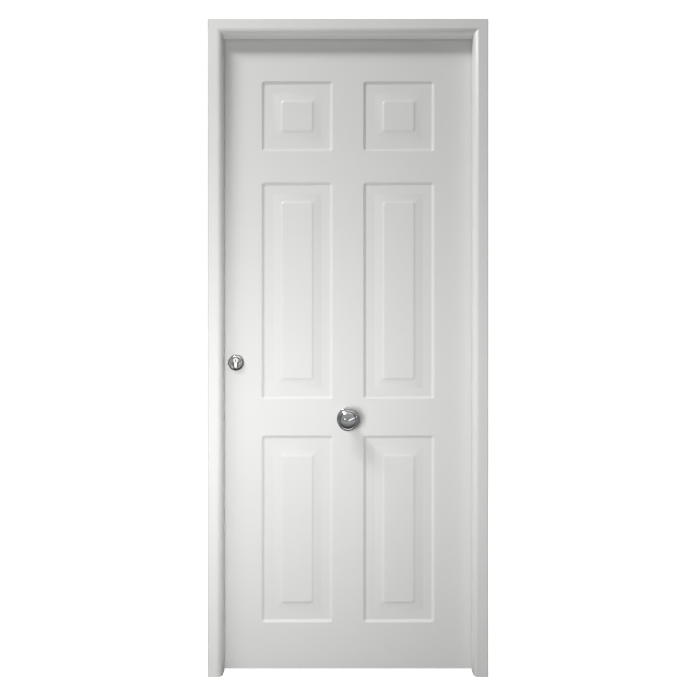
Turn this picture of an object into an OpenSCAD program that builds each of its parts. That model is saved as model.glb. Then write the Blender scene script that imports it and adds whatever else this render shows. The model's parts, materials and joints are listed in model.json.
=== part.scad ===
// Panelled front door with its frame.
// Millimetres, +X to the right seen from outside, +Y into the building, +Z up.
// The origin is on the floor, at the middle of the frame's outer face.

/* [Frame] */
// Overall width of the frame
frame_w = 890; // [760:1:1200]
// Overall height of the frame
frame_h = 2088; // [1900:1:2600]
// Width of the jambs and the head, seen from outside
frame_face = 45; // [43:0.5:70]
// Depth of the stop in front of the leaf
stop_depth = 50; // [35:1:80]
// How far the stop covers the leaf and its gap
rebate = 15.5; // [15.5:0.5:24]
// Radius of the nosing on the stop's front edge
nosing_r = 15; // [2:0.5:15]

/* [Leaf] */
// Gap between the leaf and the rebate, at the sides and the top
leaf_gap = 3; // [2:0.5:4]
// Gap between the leaf and the floor
undercut = 5; // [4:0.5:10]
// Gap between the stop and the leaf, which the seal closes
seal_gap = 4; // [3:0.5:6]
// Thickness of each moulded facing
facing_t = 12; // [10:0.5:16]
// Thickness of each armour sheet
armour_t = 1; // [0.8:0.1:2]
// Thickness of the stiles, rails and core
core_t = 24; // [22:0.5:40]
// How far the armour sheets stay inside the leaf's edge
armour_inset = 1.5; // [1:0.5:4]
// Width of the stile that holds the lock
lock_stile_w = 100; // [92:1:115]
// Width of the stile that holds the hinges
hinge_stile_w = 60; // [50:1:110]
// Width of the top and bottom rails
core_rail_w = 80; // [60:1:140]

/* [Panels] */
// From the leaf's edge to a panel
stile_margin = 132; // [110:1:150]
// Between the two columns of panels
mid_stile = 98; // [80:1:110]
// From the leaf's top to the top panels
top_rail = 146; // [100:0.5:180]
// Height of the top panels
top_panel_h = 228; // [180:1:300]
// Between the top and the middle panels
upper_rail = 100; // [70:1:140]
// Between the middle and the bottom panels
lock_rail = 117; // [90:1:140]
// Height of the bottom panels
bottom_panel_h = 607; // [400:1:680]
// From the leaf's bottom to the bottom panels
bottom_rail = 149; // [100:1:200]
// Depth of the groove round a panel
groove_depth = 6; // [3:0.5:8]

/* [Knob and cylinder] */
// Height of the pull knob above the floor
knob_z = 815; // [780:1:860]
// Height of the lock cylinder above the floor
cyl_z = 1004; // [900:1:1150]
// From the leaf's edge to the cylinder
backset = 50; // [48:1:60]
// Diameter of the pull knob's rose
rose_d = 72; // [50:1:90]
// Diameter of the pull knob's head
knob_d = 66; // [44:1:80]
// How far the pull knob stands out from the leaf
knob_reach = 72; // [60:1:90]
// Diameter of the cylinder's escutcheon
escutcheon_d = 51; // [48:1:60]
// Thickness of the escutcheons
escutcheon_t = 12; // [8:0.5:16]
// How far the escutcheon's middle is below the plug, so that it centres on the whole cylinder
escutcheon_drop = 8; // [4:0.5:10]

/* [Lock] */
// From the cylinder up to the spindle
spindle_rise = 85; // [72:1:92]
// Travel of the latch bolt
latch_throw = 12; // [8:0.5:14]
// Travel of the dead bolts
bolt_throw = 20; // [14:0.5:22]
// Diameter of the dead bolts
bolt_d = 14; // [10:0.5:14]

/* [Hinges] */
// Height of one hinge
hinge_h = 100; // [80:1:120]
// Diameter of the hinge pin
hinge_pin_d = 7; // [5:0.5:8]
// How far the hinge axis stands out from the leaf's inner face
hinge_proud = 8; // [7.5:0.5:12]
// Distance of the outer hinges from the leaf's ends
hinge_end = 220; // [190:1:260]
// Diameter of the fixed dog bolts on the hinge edge
dog_d = 12; // [10:0.5:14]

/* [Hidden] */
$fn = 64;

// Finishes
lacquer = "white";
steel = "silver";
chrome = "gainsboro";
timber = "burlywood";
rubber = "dimgray";
wool = "khaki";
brass = "goldenrod";
aluminium = "lightgray";

// Clearances
eps = 1;            // how far a cut runs past the face it opens
screw_fit = 0.1;    // round a screw in its hole
pin_fit = 0.05;     // round a hinge pin or a plug in its bore
slide_fit = 0.2;    // round a bolt in its faceplate
turn_fit = 0.3;     // between a turning piece and a fixed one
cyl_fit = 0.3;      // round the cylinder in what it passes through
bolt_fit = 0.4;     // round the escutcheons' bolts
seal_fit = 0.3;     // between a seal and what it closes on
strike_fit = 1;     // round a bolt in the strike plate
pocket_fit = 2;     // round a bolt in the jamb's pocket

// Frame
frame_d = stop_depth + seal_gap + 2 * facing_t + 2 * armour_t + core_t;
outer_x = frame_w / 2;
reveal_x = outer_x - frame_face;
rebate_x = reveal_x + rebate;
soffit_z = frame_h - frame_face;
rebate_z = soffit_z + rebate;
arris_r = 2;
seal_stem = 3;
seal_kerf = 6;
mitre_lead = 5;
fix_count = 4;
fix_z = 120;
fix_top = 168;
fix_spacing = (frame_h - fix_z - fix_top) / (fix_count - 1);
fix_r = 5;
corner_screw_shares = [0.3, 0.75];
fix_y = stop_depth + seal_gap + facing_t + armour_t + core_t / 2;

// Leaf
leaf_x = rebate_x - leaf_gap;
leaf_w = 2 * leaf_x;
leaf_z0 = undercut;
leaf_z1 = rebate_z - leaf_gap;
leaf_y0 = stop_depth + seal_gap;
leaf_y1 = frame_d;
core_y0 = leaf_y0 + facing_t + armour_t;
core_y1 = core_y0 + core_t;
mid_y = (leaf_y0 + leaf_y1) / 2;

// Panels: [centre z, height] of each row, and the centre x of each column
panel_w = (leaf_w - 2 * stile_margin - mid_stile) / 2;
panel_x = (mid_stile + panel_w) / 2;
bottom_panel_z = leaf_z0 + bottom_rail + bottom_panel_h / 2;
top_panel_z = leaf_z1 - top_rail - top_panel_h / 2;
middle_z0 = bottom_panel_z + bottom_panel_h / 2 + lock_rail;
middle_z1 = top_panel_z - top_panel_h / 2 - upper_rail;
panel_rows = [
  [bottom_panel_z, bottom_panel_h],
  [(middle_z0 + middle_z1) / 2, middle_z1 - middle_z0],
  [top_panel_z, top_panel_h],
];
// The moulding as [distance in from the panel's edge, share of the groove's depth]
groove_outline = [[0, 0], [1.2, 0.09], [9.2, 0.91], [11.6, 1]];
field_outline = [[12.4, 1], [37, 0.97], [61.5, 0.41], [62.8, 0.36], [67.6, 0.07], [68.5, 0.04]];

// Cylinder
cyl_r = 8.5;
cyl_leg_w = 10;
cyl_h = 33;
plug_r = 6.2;
cam_w = 10;
cam_r = 14.5;
cam_tip_r = 3;
cam_hub_r = 8;
cam_room = 1;
cyl_set_in = 0.5;
cyl_proud = escutcheon_t - cyl_set_in;
cyl_y0 = leaf_y0 - cyl_proud;
cyl_y1 = leaf_y1 + cyl_proud;
cyl_screw_drop = 19.5;
cyl_screw_r = 2.4;
cyl_screw_past = 3;
through_bolt_x = 19;
through_bolt_r = 2.5;
through_bolt_bore = 4;
through_bolt_short = 2;
escutcheon_edge = 4.5;
escutcheon_post_r = 4;
escutcheon_post = 14;
keyway_w = 2.4;
keyway_up = 1.2;
keyway_h = 8;
keyway_depth = 22;

// Lock
lock_x = -leaf_x;
cyl_x = lock_x + backset;
case_depth = 82;
case_t = 18;
case_wall = 1.5;
case_head = 23;
case_up = spindle_rise + case_head;
case_down = 108;
faceplate_t = 3;
faceplate_w = 22;
faceplate_over = 17;
plate_screw_in = 8;
plate_top = case_up + faceplate_over;
plate_bottom = case_down + faceplate_over;
strike_t = 2.5;
strike_w = 24;
bolt_drops = [40, 66, 92];
bolt_len = 45;
carriage_t = 10;
carriage_room = 1.5;
carriage_gap = 1;
carriage_up = cyl_h - cyl_r + carriage_room;
latch_h = 22;
latch_room = 1;
latch_w = case_t - 2 * case_wall - latch_room;
latch_flat = 2;
latch_len = 34;
latch_pocket = 4;
mortise_d = bolt_throw + leaf_gap;
follower_r = 9;
follower_room = 1;
finger_t = 7;
finger_r = 12;
finger_tip_r = 2.5;
finger_half_turn = 30;
finger_x = cyl_x + finger_r * sin(finger_half_turn);
spindle_s = 8;
spindle_in = 17;
spindle_hole_depth = case_t / 2 + 1.5;
spindle_z = cyl_z + spindle_rise;
escutcheon_z = cyl_z - escutcheon_drop;

// Knobs
rose_t = 9;
rose_edge = 4;
neck_r = 13;
stud_r = 5;
stud_in = 24;
turn_rose_t = 10;
turn_knob_d = 50;
turn_knob_reach = 58;
turn_neck_r = 10;
cap_r = 15;
cap_t = 9;
cap_wall = 3;
cap_edge = 4;
turn_neck_in = 2;

// Hinges
hinge_x = (leaf_x + rebate_x) / 2;
hinge_y = leaf_y1 + hinge_proud;
hinge_plate_t = 2.5;
hinge_plate_w = 32;
knuckle_r = 6.5;
knuckle_gap = 0.2;
knuckle_room = 0.5;
middle_hinge_rise = 10;
knuckle_count = 5;
hinge_z = [
  leaf_z0 + hinge_end,
  (leaf_z0 + leaf_z1) / 2 + middle_hinge_rise,
  leaf_z1 - hinge_end,
];
hinge_screw_rows = [[-0.36, 10], [-0.13, 22], [0.13, 10], [0.36, 22]];
dog_z = [0.25, 0.72];
dog_reach = 12;
dog_shank_r = 5;
dog_shank = 40;
dog_room = 2.5;
dog_nose = 3;
dog_taper = 2;
cup_wall = 2;
cup_depth = dog_reach + 2;
cup_flange = 4;

// Wood screw: head radius, head height, shank radius
screw_head_r = 4.4;
screw_head_h = 2.4;
screw_r = 2.2;
recess_w = 3.6;
recess_slot = 0.8;
recess_h = 2.4;
corner_screw_len = 75;
strike_screw_len = 22;
frame_hinge_screw_len = 24;
leaf_hinge_screw_len = 40;
faceplate_screw_len = 30;

// Bottom seal
carrier_w = 12;
carrier_h = 13;
carrier_wall = 1.5;
blade_t = 3;
blade_root_up = 2;

// ---- helpers ----

// Extrudes a shape drawn in x and z from y0 to y1.
module slab_y(y0, y1) {
  translate([0, y1, 0]) rotate([90, 0, 0]) linear_extrude(y1 - y0) children();
}

// Extrudes a shape drawn in y and z from x0 to x1.
module slab_x(x0, x1) {
  translate([x0, 0, 0]) rotate([90, 0, 90]) linear_extrude(x1 - x0) children();
}

module rod_y(x, z, y0, y1, r) {
  translate([x, y1, z]) rotate([90, 0, 0]) cylinder(h = y1 - y0, r = r);
}

module rod_x(y, z, x0, x1, r) {
  translate([x0, y, z]) rotate([0, 90, 0]) cylinder(h = x1 - x0, r = r);
}

// Turns a profile drawn in r and height, so that it stands on the leaf's outer face.
module turned_out(x, z) {
  translate([x, leaf_y0, z]) rotate([90, 0, 0]) rotate_extrude() children();
}

// The same on the leaf's inner face.
module turned_in(x, z) {
  translate([x, leaf_y1, z]) rotate([-90, 0, 0]) rotate_extrude() children();
}

// A disc's half section with a rounded front edge.
module disc_section(r, t, edge) {
  square([r - edge, t]);
  square([r, t - edge]);
  translate([r - edge, t - edge]) intersection() {
    circle(edge);
    square(edge);
  }
}

// A plate with round ends in y and z.
module round_plate(w, z0, z1) {
  translate([mid_y - w / 2, z0 + w / 2]) square([w, z1 - z0 - w]);
  for (z = [z0 + w / 2, z1 - w / 2]) translate([mid_y, z]) circle(w / 2);
}

// A countersunk wood screw along +Z with its head's top at 0; grow widens it for its hole.
module wood_screw(len, grow = 0) {
  translate([0, 0, -grow]) cylinder(h = screw_head_h + grow, r1 = screw_head_r + grow, r2 = screw_r + grow);
  cylinder(h = len + grow, r = screw_r + grow);
}

// The finished screw with its cross recess.
module driven_screw(len) {
  difference() {
    wood_screw(len);
    for (a = [0, 90]) rotate(a) cube([recess_w, recess_slot, recess_h], center = true);
  }
}

// ---- frame ----

// Section of a frame member: u runs in from its outer face, y from front to back.
module frame_section() {
  difference() {
    square([frame_face, frame_d]);
    translate([frame_face - rebate, stop_depth]) square([rebate + eps, frame_d]);
    translate([frame_face - rebate / 2 - seal_stem / 2, stop_depth - seal_kerf]) square([seal_stem, seal_kerf + eps]);
    edge_round(frame_face, nosing_r, 1);
    edge_round(0, arris_r, -1);
  }
}

// What a rounded front edge at u takes off.
module edge_round(u, r, side) {
  difference() {
    translate([side > 0 ? u - r : -eps, -eps]) square([r + eps, r + eps]);
    translate([u - side * r, r]) circle(r);
  }
}

// Section of the seal: a stem in the kerf and a round lip on the stop.
module seal_section() {
  lip_r = seal_gap - seal_fit;
  translate([frame_face - rebate / 2, stop_depth]) {
    translate([-seal_stem / 2, -seal_kerf]) square([seal_stem, seal_kerf]);
    intersection() {
      circle(lip_r);
      translate([-lip_r, 0]) square([2 * lip_r, lip_r]);
    }
  }
}

// The room that the hinge-side jamb takes from the head: square on top, mitred at the stop.
module jamb_room() {
  slab_y(-eps, frame_d + eps) polygon([
    [reveal_x - mitre_lead, -eps], [reveal_x - mitre_lead, soffit_z - mitre_lead], [rebate_x, rebate_z],
    [outer_x + eps, rebate_z], [outer_x + eps, -eps],
  ]);
}

// A section run up the hinge side, down to the floor and up to the head's joint.
module jamb_run() {
  intersection() {
    translate([outer_x, 0, 0]) mirror([1, 0, 0]) linear_extrude(frame_h) children();
    jamb_room();
  }
}

module head_run() {
  difference() {
    translate([-outer_x, 0, frame_h]) rotate([0, 90, 0]) linear_extrude(frame_w) children();
    jamb_room();
    mirror([1, 0, 0]) jamb_room();
  }
}

module fixing_holes() {
  for (i = [0:fix_count - 1])
    rod_x(fix_y, fix_z + i * fix_spacing, rebate_x - eps, outer_x + eps, fix_r);
}

module corner_screws_place() {
  for (side = [-1, 1]) for (share = corner_screw_shares)
    translate([side * (outer_x - (frame_face - rebate) / 2), share * frame_d, frame_h]) mirror([0, 0, 1]) children();
}

module jamb_lock_side() color(lacquer) difference() {
  mirror([1, 0, 0]) difference() {
    jamb_run() frame_section();
    fixing_holes();
  }
  corner_screws_place() wood_screw(corner_screw_len, screw_fit);
  slab_x(-rebate_x - strike_t, -rebate_x + eps) round_plate(strike_w, cyl_z - plate_bottom, cyl_z + plate_top);
  strike_screws_place() wood_screw(strike_screw_len, screw_fit);
  latch_path(-rebate_x - latch_throw - latch_pocket, pocket_fit);
  bolt_paths(-rebate_x - mortise_d, pocket_fit);
}

module jamb_hinge_side() color(lacquer) difference() {
  jamb_run() frame_section();
  fixing_holes();
  corner_screws_place() wood_screw(corner_screw_len, screw_fit);
  for (z = hinge_z) hinge_mortise(1, z);
  hinge_screws_place(1) wood_screw(frame_hinge_screw_len, screw_fit);
  dog_cups_solid();
}

module frame_head() color(lacquer) difference() {
  head_run() frame_section();
  corner_screws_place() wood_screw(corner_screw_len, screw_fit);
}

module frame_corner_screws() color(steel) corner_screws_place() driven_screw(corner_screw_len);

module seal_lock_side() color(rubber) mirror([1, 0, 0]) jamb_run() seal_section();
module seal_hinge_side() color(rubber) jamb_run() seal_section();
module seal_head() color(rubber) head_run() seal_section();

// ---- strike ----

module strike_screws_place() {
  for (z = [cyl_z - plate_bottom + plate_screw_in, cyl_z + spindle_rise / 2, cyl_z + plate_top - plate_screw_in])
    translate([-rebate_x, mid_y, z]) rotate([0, -90, 0]) children();
}

// The latch's way into the frame, from x to the leaf's edge.
module latch_path(x, room) {
  slab_x(x, lock_x) latch_opening(room);
}

module bolt_paths(x, room) {
  for (drop = bolt_drops) rod_x(mid_y, cyl_z - drop, x, lock_x, bolt_d / 2 + room);
}

module strike_plate() color(steel) difference() {
  slab_x(-rebate_x - strike_t, -rebate_x) round_plate(strike_w, cyl_z - plate_bottom, cyl_z + plate_top);
  strike_screws_place() wood_screw(strike_screw_len, screw_fit);
  latch_path(-rebate_x - latch_throw - latch_pocket, strike_fit);
  bolt_paths(-rebate_x - mortise_d, strike_fit);
}

module strike_screws() color(steel) strike_screws_place() driven_screw(strike_screw_len);

// ---- hinges ----

// The plate's recess in the jamb (side 1) or in the leaf's edge (side -1).
module hinge_mortise(side, z) {
  x = hinge_x + side * leaf_gap / 2;
  translate([side > 0 ? x - eps : x - hinge_plate_t, leaf_y1 - hinge_plate_w, z - hinge_h / 2])
    cube([hinge_plate_t + eps, hinge_plate_w + eps, hinge_h]);
}

module hinge_screws_at(side, z) {
  for (row = hinge_screw_rows)
    translate([hinge_x + side * leaf_gap / 2, leaf_y1 - row[1], z + row[0] * hinge_h]) rotate([0, side * 90, 0]) children();
}

module hinge_screws_place(side) {
  for (z = hinge_z) hinge_screws_at(side, z) children();
}

// Knuckles first, first + 2, ... of a hinge, each shortened by trim at both ends.
module knuckles(z, first, r, trim) {
  knuckle = hinge_h / knuckle_count;
  for (k = [first:2:knuckle_count - 1])
    translate([hinge_x, hinge_y, z - hinge_h / 2 + k * knuckle + trim]) cylinder(h = knuckle - 2 * trim, r = r);
}

module hinge_plate(side, z) color(steel) difference() {
  union() {
    translate([side > 0 ? hinge_x + leaf_gap / 2 : hinge_x - leaf_gap / 2 - hinge_plate_t,
               leaf_y1 - hinge_plate_w, z - hinge_h / 2])
      cube([hinge_plate_t, hinge_plate_w + hinge_proud, hinge_h]);
    knuckles(z, side > 0 ? 0 : 1, knuckle_r, knuckle_gap);
  }
  knuckles(z, side > 0 ? 1 : 0, knuckle_r + knuckle_room, 0);
  translate([hinge_x, hinge_y, z - hinge_h / 2 - eps]) cylinder(h = hinge_h + 2 * eps, r = hinge_pin_d / 2 + pin_fit);
  hinge_screws_at(side, z) wood_screw(frame_hinge_screw_len, screw_fit);
}

// A pin with a button at both ends.
module hinge_pin(z) color(steel) {
  button_t = 3;
  button_edge = 2;
  button_r = hinge_pin_d / 2 + 2;
  lift = hinge_h / 2 + turn_fit;
  translate([hinge_x, hinge_y, z - lift]) cylinder(h = 2 * lift, r = hinge_pin_d / 2);
  translate([hinge_x, hinge_y, z + lift]) rotate_extrude() disc_section(button_r, button_t, button_edge);
  translate([hinge_x, hinge_y, z - lift]) mirror([0, 0, 1]) rotate_extrude() disc_section(button_r, button_t, button_edge);
}

module hinge_frame_plate_1() hinge_plate(1, hinge_z[0]);
module hinge_frame_plate_2() hinge_plate(1, hinge_z[1]);
module hinge_frame_plate_3() hinge_plate(1, hinge_z[2]);
module hinge_leaf_plate_1() hinge_plate(-1, hinge_z[0]);
module hinge_leaf_plate_2() hinge_plate(-1, hinge_z[1]);
module hinge_leaf_plate_3() hinge_plate(-1, hinge_z[2]);
module hinge_pin_1() hinge_pin(hinge_z[0]);
module hinge_pin_2() hinge_pin(hinge_z[1]);
module hinge_pin_3() hinge_pin(hinge_z[2]);
module hinge_frame_screws() color(steel) hinge_screws_place(1) driven_screw(frame_hinge_screw_len);
module hinge_leaf_screws() color(steel) hinge_screws_place(-1) driven_screw(leaf_hinge_screw_len);

// ---- dog bolts ----

module dog_place() {
  for (share = dog_z)
    translate([0, mid_y, leaf_z0 + share * (leaf_z1 - leaf_z0)]) rotate([0, 90, 0]) children();
}

// A pin with a tapered nose on the leaf's hinge edge, and its shank in the stile.
module dog_bolts() color(steel) dog_place() {
  translate([0, 0, leaf_x - dog_shank]) cylinder(h = dog_shank, r = dog_shank_r);
  translate([0, 0, leaf_x]) cylinder(h = dog_reach - dog_nose, r = dog_d / 2);
  translate([0, 0, leaf_x + dog_reach - dog_nose]) cylinder(h = dog_nose, r1 = dog_d / 2, r2 = dog_d / 2 - dog_taper);
}

module dog_holes() {
  dog_place() translate([0, 0, leaf_x - dog_shank - screw_fit]) cylinder(h = dog_shank + eps, r = dog_shank_r + screw_fit);
}

module dog_cups_solid() {
  cup_r = dog_d / 2 + dog_room + cup_wall;
  dog_place() {
    translate([0, 0, rebate_x]) cylinder(h = cup_depth + cup_wall, r = cup_r);
    translate([0, 0, rebate_x]) cylinder(h = cup_wall, r = cup_r + cup_flange);
  }
}

module dog_bolt_cups() color(steel) difference() {
  dog_cups_solid();
  dog_place() translate([0, 0, rebate_x - eps]) cylinder(h = cup_depth + eps, r = dog_d / 2 + dog_room);
}

// ---- leaf ----

module leaf_rect(inset) {
  translate([-leaf_x + inset, leaf_z0 + inset]) square([leaf_w - 2 * inset, leaf_z1 - leaf_z0 - 2 * inset]);
}

// The cut of one panel's moulding, in a face at y = 0 with the material behind it.
module panel_cut(w, h) {
  difference() {
    intersection() {
      linear_extrude(h + 2 * eps, center = true) groove_shape(w);
      rotate([0, 90, 0]) linear_extrude(w + 2 * eps, center = true) groove_shape(h);
    }
    intersection() {
      linear_extrude(h, center = true) field_shape(w);
      rotate([0, 90, 0]) linear_extrude(w, center = true) field_shape(h);
    }
  }
}

// The groove's open section across a panel of size w.
module groove_shape(w) {
  left = [for (p = groove_outline) [p[0] - w / 2, p[1] * groove_depth]];
  right = [for (i = [len(groove_outline) - 1:-1:0]) [w / 2 - groove_outline[i][0], groove_outline[i][1] * groove_depth]];
  polygon(concat([[-w / 2, -eps]], left, right, [[w / 2, -eps]]));
}

// The raised field's section, which stands in the groove.
module field_shape(w) {
  floor_y = groove_depth + eps;
  first = field_outline[0][0];
  left = [for (p = field_outline) [p[0] - w / 2, p[1] * groove_depth]];
  right = [for (i = [len(field_outline) - 1:-1:0]) [w / 2 - field_outline[i][0], field_outline[i][1] * groove_depth]];
  polygon(concat([[first - w / 2, floor_y]], left, right, [[w / 2 - first, floor_y]]));
}

module facing_blank() difference() {
  slab_y(leaf_y0, leaf_y0 + facing_t) leaf_rect(0);
  for (row = panel_rows) for (side = [-1, 1])
    translate([side * panel_x, leaf_y0, row[0]]) panel_cut(panel_w, row[1]);
}

module outer_facing() color(lacquer) difference() {
  facing_blank();
  cylinder_hole();
  through_bolt_holes();
  knob_stud_hole();
}

module inner_facing() color(lacquer) difference() {
  translate([0, 2 * mid_y, 0]) mirror([0, 1, 0]) facing_blank();
  cylinder_hole();
  through_bolt_holes();
  knob_stud_hole();
  spindle_hole();
  for (z = hinge_z) hinge_mortise(-1, z);
  hinge_screws_place(-1) wood_screw(leaf_hinge_screw_len, screw_fit);
}

module armour_sheet(y) difference() {
  slab_y(y, y + armour_t) leaf_rect(armour_inset);
  cylinder_hole();
  through_bolt_holes();
  knob_stud_hole();
}

module armour_sheet_outer() color(steel) armour_sheet(core_y0 - armour_t);

module armour_sheet_inner() color(steel) difference() {
  armour_sheet(core_y1);
  spindle_hole();
  for (z = hinge_z) hinge_mortise(-1, z);
  hinge_screws_place(-1) wood_screw(leaf_hinge_screw_len, screw_fit);
}

// A core member between x0 and x1, z0 and z1.
module core_block(x0, x1, z0, z1) {
  slab_y(core_y0, core_y1) translate([x0, z0]) square([x1 - x0, z1 - z0]);
}

module stile_lock_side() color(timber) difference() {
  core_block(lock_x, lock_x + lock_stile_w, leaf_z0, leaf_z1);
  lock_case_room();
  slab_x(lock_x - eps, lock_x + faceplate_t) round_plate(faceplate_w, cyl_z - plate_bottom, cyl_z + plate_top);
  faceplate_screws_place() wood_screw(faceplate_screw_len, screw_fit);
  cylinder_hole();
  through_bolt_holes();
  spindle_hole();
  bottom_groove();
}

module stile_hinge_side() color(timber) difference() {
  core_block(leaf_x - hinge_stile_w, leaf_x, leaf_z0, leaf_z1);
  for (z = hinge_z) hinge_mortise(-1, z);
  hinge_screws_place(-1) wood_screw(leaf_hinge_screw_len, screw_fit);
  dog_holes();
  bottom_groove();
}

module core_rail_top() color(timber)
  core_block(lock_x + lock_stile_w, leaf_x - hinge_stile_w, leaf_z1 - core_rail_w, leaf_z1);

module core_rail_bottom() color(timber) difference() {
  core_block(lock_x + lock_stile_w, leaf_x - hinge_stile_w, leaf_z0, leaf_z0 + core_rail_w);
  bottom_groove();
}

module core_slab() color(wool) difference() {
  core_block(lock_x + lock_stile_w, leaf_x - hinge_stile_w, leaf_z0 + core_rail_w, leaf_z1 - core_rail_w);
  knob_stud_hole();
}

// ---- bottom seal ----

module bottom_groove() {
  translate([-leaf_x - eps, mid_y - carrier_w / 2, leaf_z0 - eps]) cube([leaf_w + 2 * eps, carrier_w, carrier_h + eps]);
}

module bottom_seal_carrier() color(aluminium)
  translate([-leaf_x + armour_inset, mid_y, leaf_z0]) difference() {
    translate([0, -carrier_w / 2, 0]) cube([leaf_w - 2 * armour_inset, carrier_w, carrier_h]);
    translate([-eps, -carrier_w / 2 + carrier_wall, -eps])
      cube([leaf_w + eps, carrier_w - 2 * carrier_wall, carrier_h - carrier_wall + eps]);
  }

// A wiper blade with a thick root that fills the carrier.
module bottom_seal_blade() color(rubber) {
  root_w = carrier_w - 2 * carrier_wall;
  root_z = leaf_z0 + blade_root_up;
  translate([-leaf_x + armour_inset, mid_y - root_w / 2, root_z])
    cube([leaf_w - 2 * armour_inset, root_w, leaf_z0 + carrier_h - carrier_wall - root_z]);
  translate([-leaf_x + armour_inset, mid_y - blade_t / 2, seal_fit])
    cube([leaf_w - 2 * armour_inset, blade_t, root_z - seal_fit + eps]);
}

// ---- lock ----

module faceplate_screws_place() {
  for (z = [cyl_z - plate_bottom + plate_screw_in, cyl_z + plate_top - plate_screw_in])
    translate([lock_x, mid_y, z]) rotate([0, 90, 0]) children();
}

module case_box(shrink) {
  translate([lock_x + faceplate_t + (shrink > 0 ? -eps : 0), mid_y - case_t / 2 + shrink, cyl_z - case_down + shrink])
    cube([case_depth - faceplate_t - (shrink > 0 ? shrink - eps : 0), case_t - 2 * shrink, case_up + case_down - 2 * shrink]);
}

module lock_case_room() case_box(0);

module lock_case() color(steel) difference() {
  case_box(0);
  case_box(case_wall);
  cylinder_hole();
  through_bolt_holes();
  spindle_hole();
}

module lock_faceplate() color(chrome) difference() {
  slab_x(lock_x, lock_x + faceplate_t) round_plate(faceplate_w, cyl_z - plate_bottom, cyl_z + plate_top);
  faceplate_screws_place() wood_screw(faceplate_screw_len, screw_fit);
  bolt_openings(slide_fit);
  cylinder_screw_room(screw_fit);
}

// The openings for the latch and the dead bolts through the faceplate.
module bolt_openings(room) {
  slab_x(lock_x - eps, lock_x + faceplate_t + eps) latch_opening(room);
  for (drop = bolt_drops)
    rod_x(mid_y, cyl_z - drop, lock_x - eps, lock_x + faceplate_t + eps, bolt_d / 2 + room);
}

module latch_opening(room) {
  translate([mid_y - latch_w / 2 - room, spindle_z - latch_h / 2 - room])
    square([latch_w + 2 * room, latch_h + 2 * room]);
}

module faceplate_screws() color(steel) faceplate_screws_place() driven_screw(faceplate_screw_len);

// The spring latch, drawn in: its nose is cut slanting on the closing side.
module latch_bolt() color(chrome) {
  tip = lock_x + slide_fit;
  z0 = spindle_z - latch_h / 2;
  tail_top = spindle_z - finger_r - finger_tip_r - turn_fit;
  tail_t = 4;
  tail_w = 8;
  lug = 2.5;
  lug_h = 3.5;
  web = 6;
  tail_end = finger_x + finger_tip_r + turn_fit + lug;
  translate([0, 0, z0]) linear_extrude(latch_h) polygon([
    [tip, mid_y + latch_w / 2], [tip + latch_len, mid_y + latch_w / 2],
    [tip + latch_len, mid_y - latch_w / 2], [tip + latch_w - latch_flat, mid_y - latch_w / 2],
    [tip, mid_y + latch_w / 2 - latch_flat],
  ]);
  // a web drops to the tail, which runs under the follower, with a lug on each side of its finger
  translate([tip + latch_len - web, mid_y - tail_w / 2, tail_top - tail_t])
    cube([web, tail_w, z0 + eps - tail_top + tail_t]);
  translate([tip + latch_len - web, mid_y - tail_w / 2, tail_top - tail_t])
    cube([tail_end - tip - latch_len + web, tail_w, tail_t]);
  for (x = [finger_x - finger_tip_r - turn_fit - lug, finger_x + finger_tip_r + turn_fit])
    translate([x, mid_y - tail_w / 2, tail_top - eps]) cube([lug, tail_w, lug_h + eps]);
}

// The dead bolts, drawn in, on one carriage behind them.
module dead_bolts() color(chrome) {
  tip = lock_x + slide_fit;
  nose = 1;
  for (drop = bolt_drops) {
    rod_x(mid_y, cyl_z - drop, tip + nose, tip + bolt_len, bolt_d / 2);
    translate([tip, mid_y, cyl_z - drop]) rotate([0, 90, 0]) cylinder(h = nose, r1 = bolt_d / 2 - nose, r2 = bolt_d / 2);
  }
  translate([tip + bolt_len - eps, mid_y - carriage_t / 2, cyl_z - case_down + case_wall + carriage_gap])
    cube([carriage_t + eps, carriage_t, case_down - case_wall - carriage_gap - carriage_up]);
}

// ---- cylinder ----

// The outline of a profile cylinder, in x and z.
module cylinder_outline(grow = 0) {
  translate([cyl_x, cyl_z]) {
    circle(cyl_r + grow);
    translate([0, cyl_r + cyl_leg_w / 2 - cyl_h]) circle(cyl_leg_w / 2 + grow);
    translate([-cyl_leg_w / 2 - grow, cyl_r + cyl_leg_w / 2 - cyl_h]) square([cyl_leg_w + 2 * grow, cyl_h - cyl_r - cyl_leg_w / 2]);
  }
}

module cylinder_hole() slab_y(leaf_y0 - eps, leaf_y1 + eps) cylinder_outline(cyl_fit);

module cylinder_screw_room(fit) {
  translate([lock_x, mid_y, cyl_z - cyl_screw_drop]) rotate([0, 90, 0]) {
    translate([0, 0, -fit]) cylinder(h = screw_head_h + fit, r1 = screw_head_r + fit, r2 = cyl_screw_r + fit);
    cylinder(h = backset + cyl_screw_past + fit, r = cyl_screw_r + fit);
  }
}

module cylinder_body() color(brass) difference() {
  slab_y(cyl_y0, cyl_y1) cylinder_outline();
  rod_y(cyl_x, cyl_z, cyl_y0 - eps, cyl_y1 + eps, plug_r + pin_fit);
  translate([cyl_x - 2 * cyl_r, mid_y - cam_w / 2, cyl_z - cam_r - cam_room])
    cube([4 * cyl_r, cam_w, cam_r + cam_room + 2 * cyl_r]);
  cylinder_screw_room(screw_fit);
}

module cylinder_screw() color(steel) difference() {
  cylinder_screw_room(0);
  translate([lock_x, mid_y, cyl_z - cyl_screw_drop]) for (a = [0, 90])
    rotate([a, 0, 0]) cube([recess_h, recess_w, recess_slot], center = true);
}

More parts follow.
